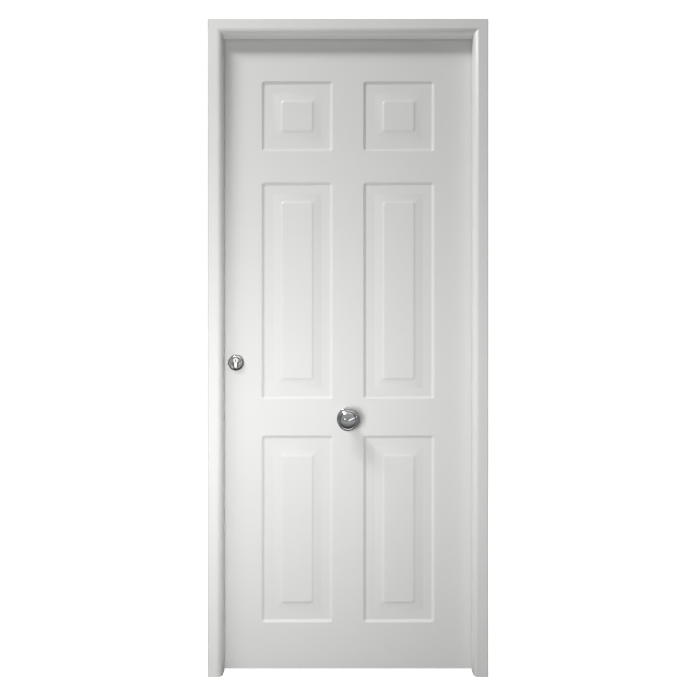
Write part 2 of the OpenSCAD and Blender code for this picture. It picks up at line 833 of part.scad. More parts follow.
module cylinder_plug() color(brass) difference() {
  rod_y(cyl_x, cyl_z, cyl_y0, cyl_y1, plug_r);
  translate([cyl_x - keyway_w / 2, cyl_y0 - eps, cyl_z - plug_r + keyway_up])
    cube([keyway_w, keyway_depth + eps, keyway_h]);
}

// The cam in the middle of the cylinder.
module cylinder_cam() color(steel) difference() {
  slab_y(mid_y - cam_w / 2 + turn_fit, mid_y + cam_w / 2 - turn_fit) translate([cyl_x, cyl_z]) {
    circle(cam_hub_r);
    translate([0, cam_r - cam_tip_r]) circle(cam_tip_r);
    translate([-cam_tip_r, 0]) square([2 * cam_tip_r, cam_r - cam_tip_r]);
  }
  rod_y(cyl_x, cyl_z, mid_y - cam_w, mid_y + cam_w, plug_r);
}

module thumb_turn() color(chrome) {
  stem = 4;
  stem_r = 5.7;
  grip_h = 34;
  grip_w = 14;
  grip_t = 12;
  rod_y(cyl_x, cyl_z, cyl_y1, cyl_y1 + stem + eps, stem_r);
  slab_y(cyl_y1 + stem, cyl_y1 + stem + grip_t) translate([cyl_x, cyl_z]) intersection() {
    circle(grip_h / 2);
    square([grip_w, grip_h], center = true);
  }
}

// ---- escutcheons ----

module through_bolt_holes() {
  for (side = [-1, 1]) rod_y(cyl_x + side * through_bolt_x, escutcheon_z, leaf_y0 - eps, leaf_y1 + eps, escutcheon_post_r + screw_fit);
}

module escutcheon_outer() color(chrome) difference() {
  union() {
    turned_out(cyl_x, escutcheon_z) disc_section(escutcheon_d / 2, escutcheon_t, escutcheon_edge);
    for (side = [-1, 1]) rod_y(cyl_x + side * through_bolt_x, escutcheon_z, leaf_y0 - eps, leaf_y0 + escutcheon_post, escutcheon_post_r);
  }
  slab_y(cyl_y0 - 2 * eps, leaf_y0 + eps) cylinder_outline(cyl_fit);
  for (side = [-1, 1]) rod_y(cyl_x + side * through_bolt_x, escutcheon_z, leaf_y0 - through_bolt_bore, leaf_y0 + escutcheon_post + eps, through_bolt_r);
}

module escutcheon_inner() color(chrome) difference() {
  turned_in(cyl_x, escutcheon_z) disc_section(escutcheon_d / 2, escutcheon_t, escutcheon_edge);
  slab_y(leaf_y1 - eps, cyl_y1 + 2 * eps) cylinder_outline(cyl_fit);
  for (side = [-1, 1]) translate([cyl_x + side * through_bolt_x, leaf_y1 + escutcheon_t, escutcheon_z]) rotate([90, 0, 0])
    wood_screw(escutcheon_t + eps, bolt_fit);
}

// Bolts from the inner escutcheon to the posts of the outer one.
module escutcheon_bolts() color(steel)
  for (side = [-1, 1]) translate([cyl_x + side * through_bolt_x, leaf_y1 + escutcheon_t, escutcheon_z]) rotate([90, 0, 0])
    driven_screw(escutcheon_t + leaf_y1 - leaf_y0 - through_bolt_short);

// ---- pull knob ----

module knob_stud_hole() rod_y(0, knob_z, leaf_y0 - eps, leaf_y1 + eps, stud_r + screw_fit);

module pull_knob_rose() color(chrome) difference() {
  turned_out(0, knob_z) disc_section(rose_d / 2, rose_t, rose_edge);
  rod_y(0, knob_z, leaf_y0 - rose_t - eps, leaf_y0 + eps, stud_r + screw_fit);
}

// A waisted neck and a round head with a bevelled rim, a fine groove and a low dome.
module pull_knob() color(chrome) difference() {
  r = knob_d / 2;
  turned_out(0, knob_z) polygon([
    [0, rose_t], [neck_r + 3, rose_t], [neck_r + 1, rose_t + 4], [neck_r, rose_t + 12],
    [neck_r + 2, rose_t + 20], [neck_r + 8, rose_t + 26],
    [r - 3, knob_reach - 20], [r, knob_reach - 16], [r, knob_reach - 12], [r - 1.5, knob_reach - 8],
    [r - 7.5, knob_reach - 2.5], [r - 8, knob_reach - 4], [r - 9.5, knob_reach - 4], [r - 10, knob_reach - 2.2],
    [r - 20, knob_reach - 0.4], [0, knob_reach],
  ]);
  rod_y(0, knob_z, leaf_y0 - rose_t - stud_in, leaf_y0, stud_r + screw_fit);
}

module pull_knob_stud() color(steel)
  rod_y(0, knob_z, leaf_y0 - rose_t - stud_in + screw_fit, leaf_y1 + cap_t - cap_wall, stud_r);

module pull_knob_cap_nut() color(chrome) difference() {
  turned_in(0, knob_z) disc_section(cap_r, cap_t, cap_edge);
  rod_y(0, knob_z, leaf_y1 - eps, leaf_y1 + cap_t - cap_wall + screw_fit, stud_r + screw_fit);
}

// ---- turn knob on the inner face ----

module spindle_hole() rod_y(cyl_x, spindle_z, mid_y - spindle_hole_depth, leaf_y1 + eps, follower_r + follower_room);

module turn_knob_rose() color(chrome) difference() {
  turned_in(cyl_x, spindle_z) disc_section(escutcheon_d / 2, turn_rose_t, escutcheon_edge);
  rod_y(cyl_x, spindle_z, leaf_y1 - eps, leaf_y1 + turn_rose_t + eps, turn_neck_r + turn_fit);
}

module spindle_square(y0, y1, side) {
  translate([cyl_x - side / 2, y0, spindle_z - side / 2]) cube([side, y1 - y0, side]);
}

// A round knob whose neck turns in the rose.
module turn_knob() color(chrome) difference() {
  r = turn_knob_d / 2;
  turned_in(cyl_x, spindle_z) polygon([
    [0, turn_neck_in], [turn_neck_r, turn_neck_in], [turn_neck_r, turn_rose_t + 10], [turn_neck_r + 5, turn_rose_t + 16],
    [r - 2, turn_rose_t + 20], [r, turn_rose_t + 24], [r, turn_knob_reach - 12], [r - 2, turn_knob_reach - 5],
    [r - 7, turn_knob_reach - 1.5], [r - 16, turn_knob_reach - 0.3], [0, turn_knob_reach],
  ]);
  spindle_square(leaf_y1 - eps, leaf_y1 + turn_knob_reach - spindle_in + eps, spindle_s + 2 * screw_fit);
}

module turn_knob_spindle() color(steel)
  spindle_square(mid_y - case_t / 2, leaf_y1 + turn_knob_reach - spindle_in, spindle_s);

// The hub on the spindle, with a finger that draws the latch.
module latch_follower() color(steel) difference() {
  union() {
    rod_y(cyl_x, spindle_z, mid_y - case_t / 2 + case_wall + turn_fit, mid_y + case_t / 2 - case_wall - turn_fit, follower_r);
    slab_y(mid_y - finger_t / 2, mid_y + finger_t / 2) translate([cyl_x, spindle_z]) rotate(finger_half_turn) {
      translate([-finger_tip_r, -finger_r]) square([2 * finger_tip_r, finger_r]);
      translate([0, -finger_r]) circle(finger_tip_r);
    }
  }
  spindle_square(mid_y - case_t, mid_y + case_t, spindle_s + 2 * screw_fit);
}

jamb_lock_side();
jamb_hinge_side();
frame_head();
frame_corner_screws();
seal_lock_side();
seal_hinge_side();
seal_head();
strike_plate();
strike_screws();
dog_bolt_cups();
hinge_frame_plate_1();
hinge_frame_plate_2();
hinge_frame_plate_3();
hinge_pin_1();
hinge_pin_2();
hinge_pin_3();
hinge_frame_screws();
outer_facing();
inner_facing();
armour_sheet_outer();
armour_sheet_inner();
stile_lock_side();
stile_hinge_side();
core_rail_top();
core_rail_bottom();
core_slab();
hinge_leaf_plate_1();
hinge_leaf_plate_2();
hinge_leaf_plate_3();
hinge_leaf_screws();
dog_bolts();
bottom_seal_carrier();
bottom_seal_blade();
lock_case();
lock_faceplate();
faceplate_screws();
cylinder_body();
cylinder_screw();
escutcheon_outer();
escutcheon_inner();
escutcheon_bolts();
pull_knob();
pull_knob_rose();
pull_knob_stud();
pull_knob_cap_nut();
turn_knob_rose();
latch_bolt();
dead_bolts();
turn_knob();
turn_knob_spindle();
latch_follower();
cylinder_plug();
cylinder_cam();
thumb_turn();
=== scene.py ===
"""The looks of a panelled front door: lacquer, chrome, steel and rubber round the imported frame."""

import json
import math

import bmesh
import bpy
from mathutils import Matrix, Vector


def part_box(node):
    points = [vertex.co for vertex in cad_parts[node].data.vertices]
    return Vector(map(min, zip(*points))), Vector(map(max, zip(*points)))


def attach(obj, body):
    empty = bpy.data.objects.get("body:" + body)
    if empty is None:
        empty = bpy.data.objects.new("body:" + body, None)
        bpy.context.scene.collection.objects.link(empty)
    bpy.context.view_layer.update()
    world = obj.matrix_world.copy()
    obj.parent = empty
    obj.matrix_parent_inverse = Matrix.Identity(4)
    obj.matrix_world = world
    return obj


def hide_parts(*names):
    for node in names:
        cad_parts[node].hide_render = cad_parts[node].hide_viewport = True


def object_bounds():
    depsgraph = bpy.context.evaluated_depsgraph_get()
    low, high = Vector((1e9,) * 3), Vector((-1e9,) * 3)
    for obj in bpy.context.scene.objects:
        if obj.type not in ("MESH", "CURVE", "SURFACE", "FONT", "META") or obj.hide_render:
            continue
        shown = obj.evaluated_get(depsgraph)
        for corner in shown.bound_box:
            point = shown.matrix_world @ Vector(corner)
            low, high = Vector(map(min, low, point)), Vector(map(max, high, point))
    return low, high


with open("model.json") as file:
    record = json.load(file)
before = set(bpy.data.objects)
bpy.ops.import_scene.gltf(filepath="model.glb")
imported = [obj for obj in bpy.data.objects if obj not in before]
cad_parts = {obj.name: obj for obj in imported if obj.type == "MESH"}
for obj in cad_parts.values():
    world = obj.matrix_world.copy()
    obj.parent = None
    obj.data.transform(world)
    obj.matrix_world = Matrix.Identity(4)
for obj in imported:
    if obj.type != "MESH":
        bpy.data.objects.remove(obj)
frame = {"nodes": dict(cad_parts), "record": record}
cad_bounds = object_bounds()
nodes = frame["nodes"]

MM = 0.001
ON_PLANE = 0.0001 * MM  # how near a plane a point counts as on it

# ---- places, from the frame ----
FACE_LOW, FACE_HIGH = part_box("outer_facing")
BACK_LOW, BACK_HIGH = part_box("inner_facing")
LEAF_X = FACE_HIGH.x
LEAF_OUT = FACE_LOW.y
LEAF_IN = BACK_HIGH.y
FACING_T = FACE_HIGH.y - FACE_LOW.y
LEAF_BOTTOM, LEAF_TOP = FACE_LOW.z, FACE_HIGH.z

# ---- the panels, as the joiner lays them out ----
STILE_MARGIN = 132 * MM
MID_STILE = 98 * MM
TOP_RAIL = 146 * MM
TOP_PANEL_H = 228 * MM
UPPER_RAIL = 100 * MM
LOCK_RAIL = 117 * MM
BOTTOM_PANEL_H = 607 * MM
BOTTOM_RAIL = 149 * MM

# ---- angles, in degrees, past which an edge stays sharp ----
FACING_SHARP = 40
TURNED_SHARP = 28
PLATE_SHARP = 30
GRIP_SHARP = 32
CYLINDER_SHARP = 15
NODE_SHARP = 40


# ---- measures of the frame's nodes ----

def centre_of(node):
    """The middle of a node, across and up."""
    low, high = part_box(node)
    return (low.x + high.x) / 2, (low.z + high.z) / 2


def radius_of(node):
    """Half a node's width, in mm."""
    low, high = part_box(node)
    return (high.x - low.x) / 2 / MM


# ---- mesh helpers ----

def finish_mesh(bm, name, sharp=PLATE_SHARP):
    """Makes an object of the bmesh, smooth but for edges sharper than the angle."""
    mesh = bpy.data.meshes.new(name)
    bm.to_mesh(mesh)
    bm.free()
    obj = bpy.data.objects.new(name, mesh)
    bpy.context.scene.collection.objects.link(obj)
    mesh.shade_smooth()
    mesh.set_sharp_from_angle(angle=math.radians(sharp))
    return obj


def fit(obj, body, material, node):
    """Gives a finished piece its body and material, and hides the node that it stands for."""
    obj.data.materials.clear()
    obj.data.materials.append(material)
    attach(obj, body)
    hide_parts(node)


def arc(cx, cy, radius, start, end, steps):
    """Points on an arc, angles in degrees."""
    points = []
    for i in range(steps + 1):
        a = math.radians(start + (end - start) * i / steps)
        points.append((cx + radius * math.cos(a), cy + radius * math.sin(a)))
    return points


def dome(radius, base, rise, steps, first=0):
    """The outline of a shallow dome from its rim to its crown, leaving out the points before the first."""
    angles = [math.radians(90 * i / steps) for i in range(first, steps + 1)]
    return [(radius * math.cos(a), base + rise * math.sin(a)) for a in angles]


def chain(bm, points):
    """Draws a line of edges through the points; returns its vertices and its edges."""
    row = [bm.verts.new(point) for point in points]
    return row, [bm.edges.new(pair) for pair in zip(row, row[1:])]


def extruded_verts(result):
    """The vertices that an extrusion made."""
    return [v for v in result["geom"] if isinstance(v, bmesh.types.BMVert)]


def turned(outline, centre, direction, steps=96):
    """Spins an outline of (radius, height) in mm round a Y axis through the centre.

    The direction is -1 for a height that grows outwards, and 1 for one that grows into the room.
    """
    bm = bmesh.new()
    row, edges = chain(bm, [(r * MM, direction * h * MM, 0) for r, h in outline])
    bmesh.ops.spin(bm, geom=row + edges, cent=(0, 0, 0), axis=(0, 1, 0), angle=math.tau,
                   steps=steps, use_merge=True)
    bmesh.ops.remove_doubles(bm, verts=bm.verts, dist=0.005 * MM)
    bmesh.ops.recalc_face_normals(bm, faces=bm.faces)
    bmesh.ops.translate(bm, verts=bm.verts, vec=centre)
    return bm


def prism(outline, y0, y1, bevel=0.0):
    """A closed outline of (x, z) in metres extruded along Y, its rims bevelled."""
    bm = bmesh.new()
    face = bm.faces.new([bm.verts.new((x, y0, z)) for x, z in outline])
    out = bmesh.ops.extrude_face_region(bm, geom=[face])
    bmesh.ops.translate(bm, verts=extruded_verts(out), vec=(0, y1 - y0, 0))
    bmesh.ops.recalc_face_normals(bm, faces=bm.faces)
    if bevel:
        rims = [e for e in bm.edges if abs(e.verts[0].co.y - e.verts[1].co.y) < ON_PLANE]
        bmesh.ops.bevel(bm, geom=rims, offset=bevel, offset_type="OFFSET", affect="EDGES",
                        segments=3, profile=0.5, material=-1, clamp_overlap=True)
    return bm


def cut(obj, cutters, sharp):
    """Subtracts each cutter from the object, removes the cutters, and marks the sharp edges again."""
    for cutter in cutters:
        modifier = obj.modifiers.new("cut", "BOOLEAN")
        modifier.operation = "DIFFERENCE"
        modifier.solver = "EXACT"
        modifier.object = cutter
    graph = bpy.context.evaluated_depsgraph_get()
    mesh = bpy.data.meshes.new_from_object(obj.evaluated_get(graph))
    obj.modifiers.clear()
    obj.data = mesh
    mesh.set_sharp_from_angle(angle=math.radians(sharp))
    for cutter in cutters:
        bpy.data.objects.remove(cutter)


def cutter_prism(outline, y0, y1):
    """A straight cutter through the leaf, from y0 to y1."""
    return finish_mesh(prism(outline, y0, y1), "cutter")


def round_outline(x, z, radius, steps=48):
    """A circle as a closed outline, its first point not repeated."""
    return [(x + px, z + pz) for px, pz in arc(0, 0, radius, 0, 360 - 360 / steps, steps - 1)]


def box_outline(x0, x1, z0, z1):
    """A rectangle as a closed outline."""
    return [(x0, z0), (x1, z0), (x1, z1), (x0, z1)]


# ---- shader helpers ----

class Nodes:
    """Adds nodes to a tree and links them by socket name."""

    def __init__(self, tree):
        self.tree = tree

    def add(self, kind, inputs=None, **settings):
        node = self.tree.nodes.new(kind)
        for key, value in settings.items():
            setattr(node, key, value)
        for key, value in (inputs or {}).items():
            self.set(node, key, value)
        return node

    def set(self, node, key, value):
        socket = node.inputs[key]
        if isinstance(value, bpy.types.NodeSocket):
            self.tree.links.new(value, socket)
        else:
            socket.default_value = value

    def math(self, operation, a, b=0.0):
        return self.add("ShaderNodeMath", {0: a, 1: b}, operation=operation).outputs[0]

    def ramp(self, value, low, high, to_low=0.0, to_high=1.0):
        """Carries the value from one range to another, and holds it at the ends."""
        node = self.add("ShaderNodeMapRange", {"Value": value, "From Min": low, "From Max": high,
                                               "To Min": to_low, "To Max": to_high}, clamp=True)
        return node.outputs["Result"]

    def noise(self, vector, scale, detail=2.0, rough=0.5):
        node = self.add("ShaderNodeTexNoise", {"Vector": vector, "Scale": scale,
                                               "Detail": detail, "Roughness": rough})
        return node.outputs["Fac"]

    def blend_numbers(self, factor, a, b):
        node = self.add("ShaderNodeMix", {"Factor": factor, "A": a, "B": b}, data_type="FLOAT")
        return node.outputs["Result"]

    def mix(self, factor, a, b):
        """Mixes two colours, by the sockets that the node's colour type uses."""
        node = self.add("ShaderNodeMix", {"Factor": factor}, data_type="RGBA")
        for key, value in ((6, a), (7, b)):
            self.set(node, key, value)
        return node.outputs[2]

    def stretched(self, vector, scale):
        node = self.add("ShaderNodeMapping", {"Vector": vector, "Scale": scale})
        return node.outputs["Vector"]


def group(name, inputs, outputs):
    """A shader node group; inputs and outputs are (name, socket type, default)."""
    tree = bpy.data.node_groups.new(name, "ShaderNodeTree")
    for label, kind, default in inputs:
        socket = tree.interface.new_socket(name=label, in_out="INPUT", socket_type=kind)
        if default is not None:
            socket.default_value = default
    for label, kind in outputs:
        tree.interface.new_socket(name=label, in_out="OUTPUT", socket_type=kind)
    n = Nodes(tree)
    return tree, n, n.add("NodeGroupInput").outputs, n.add("NodeGroupOutput")


FLOAT, COLOUR, VECTOR = "NodeSocketFloat", "NodeSocketColor", "NodeSocketVector"


def build_orange_peel():
    """The fine waves of sprayed lacquer, and a slow drift in its colour and its gloss."""
    tree, n, given, out = group(
        "sprayed_lacquer",
        [("Vector", VECTOR, None), ("Peel size", FLOAT, 420.0), ("Tint", COLOUR, (0.8, 0.8, 0.8, 1)),
         ("Shade", COLOUR, (0.7, 0.7, 0.7, 1)), ("Low gloss", FLOAT, 0.3), ("High gloss", FLOAT, 0.4)],
        [("Colour", COLOUR), ("Roughness", FLOAT), ("Height", FLOAT)])
    fine = n.noise(given["Vector"], given["Peel size"], 3.0, 0.55)
    broad = n.noise(given["Vector"], 7.0, 2.0)
    drift = n.noise(given["Vector"], 1.6, 3.0)
    n.set(out, "Height", n.math("ADD", fine, n.math("MULTIPLY", broad, 0.6)))
    n.set(out, "Colour", n.mix(n.ramp(drift, 0.35, 0.7), given["Tint"], given["Shade"]))
    cloud = n.noise(given["Vector"], 11.0, 4.0)
    n.set(out, "Roughness", n.ramp(cloud, 0.3, 0.7, given["Low gloss"], given["High gloss"]))
    return tree


def build_brushing():
    """Fine scratches along one direction."""
    tree, n, given, out = group(
        "brushed_metal",
        [("Vector", VECTOR, None), ("Along", VECTOR, (1, 1, 60)), ("Scale", FLOAT, 40.0),
         ("Low gloss", FLOAT, 0.25), ("High gloss", FLOAT, 0.45)],
        [("Roughness", FLOAT), ("Height", FLOAT), ("Mask", FLOAT)])
    node = n.add("ShaderNodeVectorMath", {0: given["Vector"], 1: given["Along"]}, operation="MULTIPLY")
    lines = n.noise(node.outputs[0], given["Scale"], 6.0, 0.7)
    n.set(out, "Roughness", n.ramp(lines, 0.3, 0.7, given["Low gloss"], given["High gloss"]))
    n.set(out, "Height", lines)
    n.set(out, "Mask", n.ramp(lines, 0.35, 0.65))
    return tree


def build_smudges():
    """Handling marks on polished metal: soft patches and hairline scratches."""
    tree, n, given, out = group(
        "handling_marks",
        [("Vector", VECTOR, None), ("Clean", FLOAT, 0.04), ("Smudged", FLOAT, 0.14)],
        [("Roughness", FLOAT), ("Height", FLOAT)])
    patches = n.ramp(n.noise(given["Vector"], 55.0, 3.0, 0.6), 0.5, 0.72)
    hairs = n.noise(n.stretched(given["Vector"], (900, 60, 300)), 1.0, 2.0)
    n.set(out, "Roughness", n.ramp(patches, 0.0, 1.0, given["Clean"], given["Smudged"]))
    n.set(out, "Height", hairs)
    return tree


LACQUER_GROUP = build_orange_peel()
BRUSH_GROUP = build_brushing()
SMUDGE_GROUP = build_smudges()


def open_material(material):
    """A material's nodes, its Principled shader and its object coordinates."""
    n = Nodes(material.node_tree)
    shader = material.node_tree.nodes["Principled BSDF"]
    return n, shader, n.add("ShaderNodeTexCoord").outputs["Object"]


def new_material(name):
    material = bpy.data.materials.new(name)
    material.use_nodes = True
    return material, *open_material(material)


def overlay(n, shader, mask, colour):
    """Lays a colour over the shader's own where the mask is white."""
    own = shader.inputs["Base Color"].links[0].from_socket
    n.set(shader, "Base Color", n.mix(mask, own, (*colour, 1)))


def bump(n, shader, height, distance, strength=1.0):
    node = n.add("ShaderNodeBump", {"Height": height, "Distance": distance, "Strength": strength})
    n.set(shader, "Normal", node.outputs["Normal"])


def lacquer(name, tint, low_gloss, high_gloss):
    """Sprayed lacquer whose colour drifts a little towards a darker shade of it."""
    material, n, shader, vector = new_material(name)
    shade = tuple(c * 0.985 for c in tint)
    coat = n.add("ShaderNodeGroup", node_tree=LACQUER_GROUP)
    for key, value in (("Vector", vector), ("Tint", (*tint, 1)), ("Shade", (*shade, 1)),
                       ("Low gloss", low_gloss), ("High gloss", high_gloss)):
        n.set(coat, key, value)
    n.set(shader, "Base Color", coat.outputs["Colour"])
    n.set(shader, "Roughness", coat.outputs["Roughness"])
    shader.inputs["Specular IOR Level"].default_value = 0.45
    bump(n, shader, coat.outputs["Height"], 0.00006)
    return material


def frame_lacquer(name, tint, low_gloss, high_gloss):
    """The frame's lacquer, with painted shade along its outer arris and over the sides that the wall hides,
    broken up a little by noise.
    """
    material = lacquer(name, tint, low_gloss, high_gloss)
    n, shader, vector = open_material(material)
    across, away, height = n.add("ShaderNodeSeparateXYZ", {"Vector": vector}).outputs
    beyond = n.math("MAXIMUM", n.math("SUBTRACT", n.math("ABSOLUTE", across), cad_bounds[1][0]),
                    n.math("SUBTRACT", height, cad_bounds[1][2]))
    breakup = n.ramp(n.noise(n.stretched(vector, (30, 30, 9)), 3.0, 4.0), 0.3, 0.6, 0.5, 1.0)
    # painted shade: the outer arris and sides are darkened to draw a dark outline round the frame
    painted_arris_shade = n.math("MULTIPLY", n.ramp(beyond, -3.2 * MM, -1.2 * MM, 0.0, 1.0), breakup)
    overlay(n, shader, n.math("MULTIPLY", painted_arris_shade, 0.75), tuple(c * 0.45 for c in tint))
    return material


def brushed(name, colour, low_gloss, high_gloss, along, scale):
    """Metal with fine scratches; along says how closely they lie in each direction."""
    material, n, shader, vector = new_material(name)
    brush = n.add("ShaderNodeGroup", node_tree=BRUSH_GROUP)
    for key, value in (("Vector", vector), ("Along", along), ("Scale", scale),
                       ("Low gloss", low_gloss), ("High gloss", high_gloss)):
        n.set(brush, key, value)
    dark = tuple(c * 0.82 for c in colour)
    n.set(shader, "Base Color", n.mix(brush.outputs["Mask"], (*dark, 1), (*colour, 1)))
    n.set(shader, "Roughness", brush.outputs["Roughness"])
    shader.inputs["Metallic"].default_value = 1.0
    bump(n, shader, brush.outputs["Height"], 0.00002)
    return material


def cylinder_nickel(name, colour):
    """Bright nickel on the cylinder's ends, with painted shade that turns it dark down the keyway and the
    clearances.
    """
    material = brushed(name, colour, 0.05, 0.10, (60, 1, 60), 30.0)
    n, shader, vector = open_material(material)
    away = n.add("ShaderNodeSeparateXYZ", {"Vector": vector}).outputs["Y"]
    low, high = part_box("cylinder_body")
    depth = n.math("MINIMUM", n.math("SUBTRACT", away, low.y), n.math("SUBTRACT", high.y, away))
    # painted shade: near black from a few mm below either end face
    overlay(n, shader, n.ramp(depth, 0.6 * MM, 3 * MM), (0.02, 0.02, 0.02))
    return material


def polished(name, colour, clean, smudged):
    """Chrome with handling marks, its colour darkened towards its outlines as a painted reflection of a dark
    room.
    """
    material, n, shader, vector = new_material(name)
    marks = n.add("ShaderNodeGroup", node_tree=SMUDGE_GROUP)
    for key, value in (("Vector", vector), ("Clean", clean), ("Smudged", smudged)):
        n.set(marks, key, value)
    # painted reflection: the colour falls to 16 % where the surface turns away from the view
    turned_away = n.ramp(n.add("ShaderNodeLayerWeight").outputs["Facing"], 0.16, 0.46)
    plating_and_painted_outline = n.mix(turned_away, (*colour, 1), (*(c * 0.16 for c in colour), 1))
    n.set(shader, "Base Color", plating_and_painted_outline)
    n.set(shader, "Specular Tint", plating_and_painted_outline)
    shader.inputs["Metallic"].default_value = 1.0
    n.set(shader, "Roughness", marks.outputs["Roughness"])
    bump(n, shader, marks.outputs["Height"], 0.000004)
    return material


def moulded_rubber(name, colour):
    """Matt rubber with a fine grain and a little dust."""
    material, n, shader, vector = new_material(name)
    grain = n.noise(vector, 900.0, 3.0, 0.6)
    dust = n.ramp(n.noise(vector, 30.0, 4.0), 0.45, 0.8)
    n.set(shader, "Base Color", n.mix(dust, (*colour, 1), (*(c * 1.6 for c in colour), 1)))
    n.set(shader, "Roughness", n.ramp(grain, 0.3, 0.7, 0.65, 0.85))
    bump(n, shader, grain, 0.00005)
    return material


def sawn_timber(name, paint):
    """Softwood with its grain upright, lacquered like the facings where the leaf's edge shows it."""
    material, n, shader, vector = new_material(name)
    grain = n.noise(n.stretched(vector, (60, 60, 2.2)), 3.0, 6.0, 0.6)
    rings = n.noise(n.stretched(vector, (18, 18, 0.6)), 2.0, 2.0)
    wood = n.mix(n.ramp(grain, 0.35, 0.65), (0.55, 0.36, 0.19, 1), (0.74, 0.55, 0.33, 1))
    wood = n.mix(n.ramp(rings, 0.4, 0.7), wood, (0.62, 0.42, 0.22, 1))
    place = n.add("ShaderNodeSeparateXYZ", {"Vector": vector}).outputs
    skin = 0.3 * MM
    side = n.math("GREATER_THAN", n.math("ABSOLUTE", place["X"]), LEAF_X - skin)
    top = n.math("GREATER_THAN", place["Z"], LEAF_TOP - skin)
    edge = n.math("MAXIMUM", side, top)
    n.set(shader, "Base Color", n.mix(edge, wood, (*paint, 1)))
    n.set(shader, "Roughness", n.ramp(edge, 0, 1, 0.75, 0.36))
    bump(n, shader, grain, 0.00008, 0.5)
    return material


def mineral_wool(name):
    """Pressed fibres that lie in the plane of the leaf."""
    material, n, shader, vector = new_material(name)
    fibres = n.noise(n.stretched(vector, (1, 4, 1)), 260.0, 8.0, 0.7)
    n.set(shader, "Base Color", n.mix(fibres, (0.36, 0.30, 0.12, 1), (0.70, 0.62, 0.36, 1)))
    shader.inputs["Roughness"].default_value = 0.95
    bump(n, shader, fibres, 0.0008)
    return material


LEAF_WHITE = (0.80, 0.80, 0.785)
# painted light: the frame's white is the leaf's white made lighter, for the brighter light on the frame
FRAME_WHITE_PAINTED_LIGHTER = (0.84, 0.84, 0.825)
M = {
    "leaf": lacquer("white_leaf_lacquer", LEAF_WHITE, 0.30, 0.38),
    "frame": frame_lacquer("white_frame_lacquer", FRAME_WHITE_PAINTED_LIGHTER, 0.30, 0.38),
    "chrome": polished("polished_chrome", (0.86, 0.87, 0.88), 0.045, 0.13),
    "nickel": cylinder_nickel("nickel_plate", (0.90, 0.88, 0.84)),
    "hinge": brushed("hinge_steel", (0.60, 0.60, 0.59), 0.28, 0.42, (1, 1, 60), 30.0),
    "lock": brushed("lock_steel", (0.58, 0.58, 0.57), 0.22, 0.38, (1, 60, 2), 30.0),
    "screw": brushed("screw_steel", (0.55, 0.55, 0.54), 0.25, 0.40, (40, 40, 40), 12.0),
    "armour": brushed("galvanised_sheet", (0.52, 0.53, 0.54), 0.35, 0.55, (9, 9, 9), 3.0),
    "aluminium": brushed("mill_aluminium", (0.72, 0.73, 0.74), 0.3, 0.45, (1, 60, 60), 30.0),
    "rubber": moulded_rubber("black_rubber", (0.022, 0.022, 0.022)),
    "timber": sawn_timber("stile_timber", LEAF_WHITE),
    "wool": mineral_wool("mineral_wool"),
}


# ---- the moulded facings ----

# each (distance in from the panel's border, depth below the face) in mm, from the border inwards
GROOVE = [(0.5, 0.12), (1.1, 0.45), (2.0, 1.0), (8.2, 5.0), (9.2, 5.5)]
RING = [(10.2, 5.82), (11.4, 5.97), (12.6, 6.0), (36.0, 5.85), (37.2, 5.78), (38.4, 5.6), (61.2, 2.5)]
STEP = [(62.2, 2.25), (63.0, 1.95), (67.2, 0.42), (67.9, 0.22), (68.7, 0.1), (69.6, 0.06)]
GROOVE_CORNER = 11 * MM
STEP_CORNER = 12 * MM
RIM_ROUND = 1.2 * MM


def ring_in(bm, face, start, steps):
    """Insets a panel's face step by step to each (distance in, depth) in mm; returns where it ends."""
    at = start
    for inwards, depth in steps:
        bmesh.ops.inset_region(bm, faces=[face], thickness=(inwards - at[0]) * MM, depth=(at[1] - depth) * MM,
                               use_boundary=True, use_even_offset=True)
        at = (inwards, depth)
    return at


def face_at(bm, centre):
    """The face whose own centre lies nearest."""
    return min(bm.faces, key=lambda f: (f.calc_center_bounds() - centre).length)


def round_corners(bm, face, radius):
    """Rounds a rectangular face's corners, and returns the face."""
    centre = face.calc_center_bounds()
    bmesh.ops.bevel(bm, geom=face.verts[:], offset=radius, offset_type="OFFSET", affect="VERTICES",
                    segments=5, profile=0.5, material=-1)
    return face_at(bm, centre)


def square_corners(bm, face, half_w, half_h):
    """Draws each corner's short arc together to one point, so that the face is a rectangle again."""
    centre = face.calc_center_bounds()
    corners = [centre + Vector((sx * half_w, 0, sz * half_h)) for sx in (-1, 1) for sz in (-1, 1)]
    groups = [[v for v in face.verts if (v.co - corner).length < 4 * MM] for corner in corners]
    for corner, arc_verts in zip(corners, groups):
        bmesh.ops.pointmerge(bm, verts=arc_verts, merge_co=corner)
    return face_at(bm, centre)


def mould_panel(bm, face, width, height):
    """Sinks the groove round a panel, raises its sloping border and leaves the field inside the step."""
    face = round_corners(bm, face, GROOVE_CORNER)
    at = ring_in(bm, face, (0.0, 0.0), GROOVE)
    face = square_corners(bm, face, width / 2 - at[0] * MM, height / 2 - at[0] * MM)
    at = ring_in(bm, face, at, RING)
    face = round_corners(bm, face, STEP_CORNER)
    ring_in(bm, face, at, STEP)


